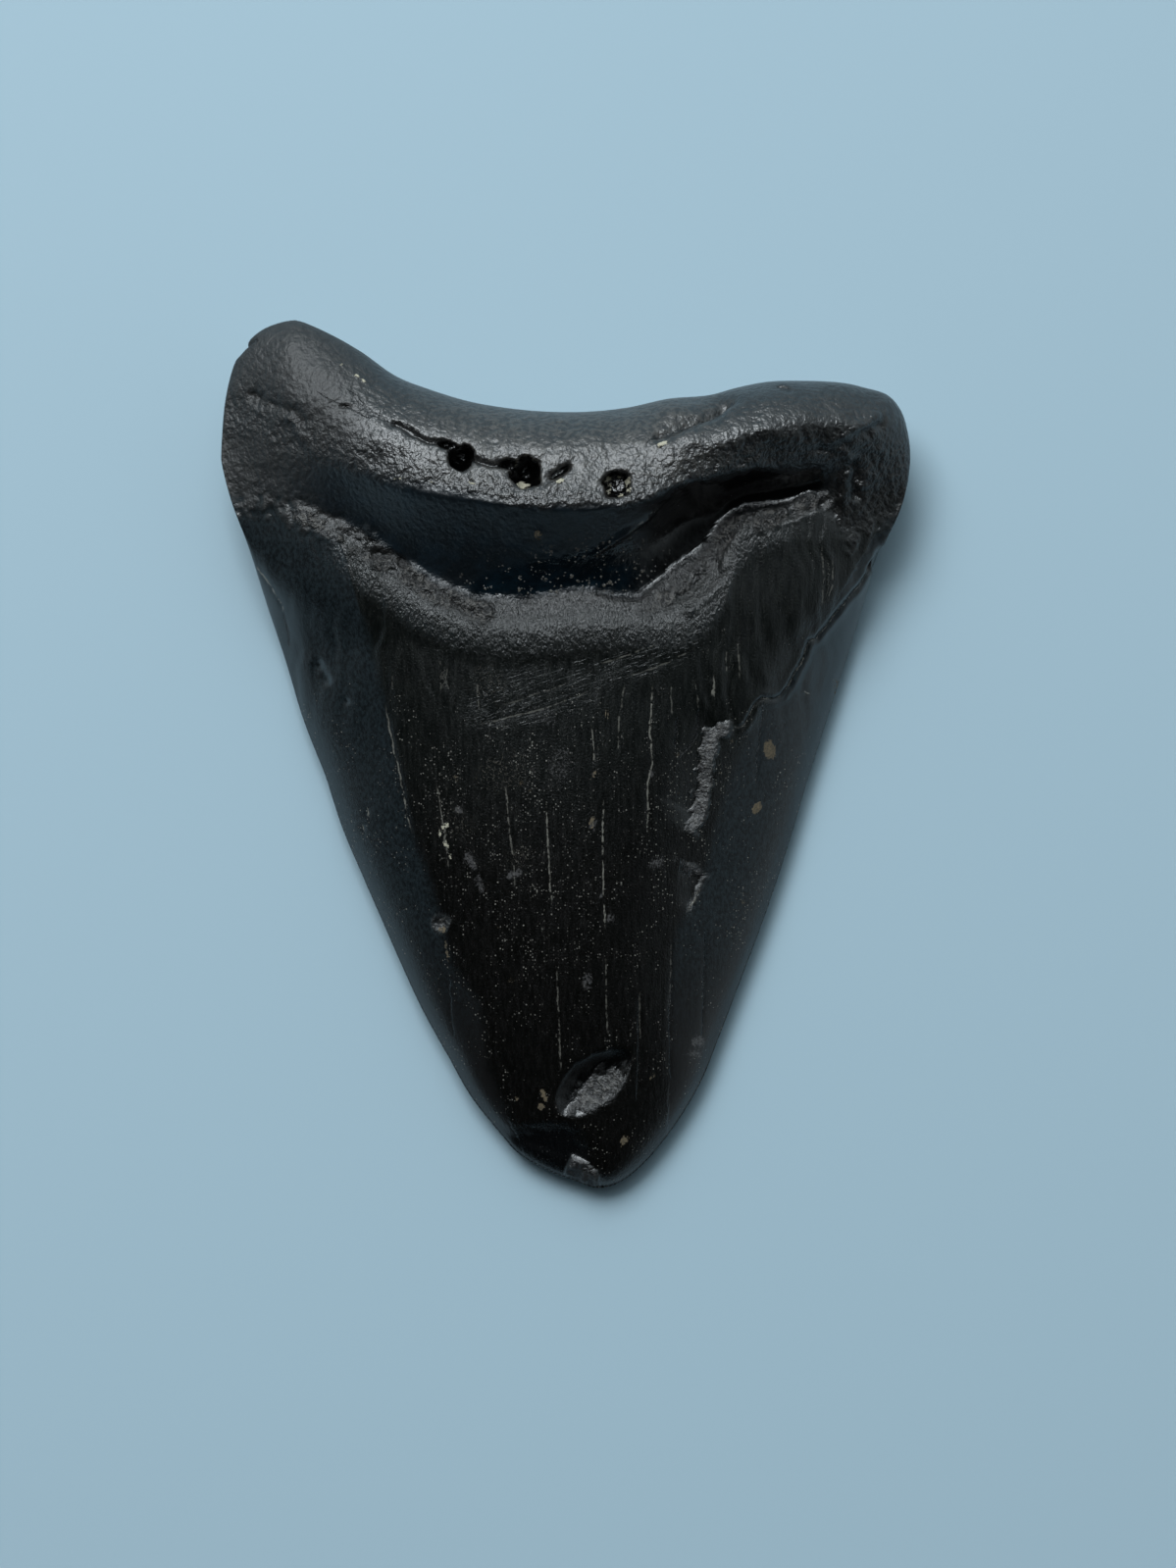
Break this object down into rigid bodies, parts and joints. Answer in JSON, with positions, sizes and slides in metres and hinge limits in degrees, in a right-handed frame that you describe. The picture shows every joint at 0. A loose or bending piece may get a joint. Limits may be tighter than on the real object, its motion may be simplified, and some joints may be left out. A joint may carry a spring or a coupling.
{
  "type": "megalodon tooth fossil",
  "caption": "Black fossil shark tooth with a thick lobed root, a hollow below its crest, a broad crown with facets beside the cutting edges, and a worn, broken tip.",
  "frame": {"origin": "on the resting plane, under the middle of the outline", "axes": "+Y from the tip towards the root, +Z out of the lingual (bulging) face, +X to the right seen from above with the root away from the viewer"},
  "size_m": [0.0802, 0.1016, 0.0215],
  "materials": {
    "fossil": "black phosphate stone: matte and granular on the root, satin on the enamel"
  },
  "bodies": {
    "root": {"tooth": "fossil"}
  },
  "joints": []
}
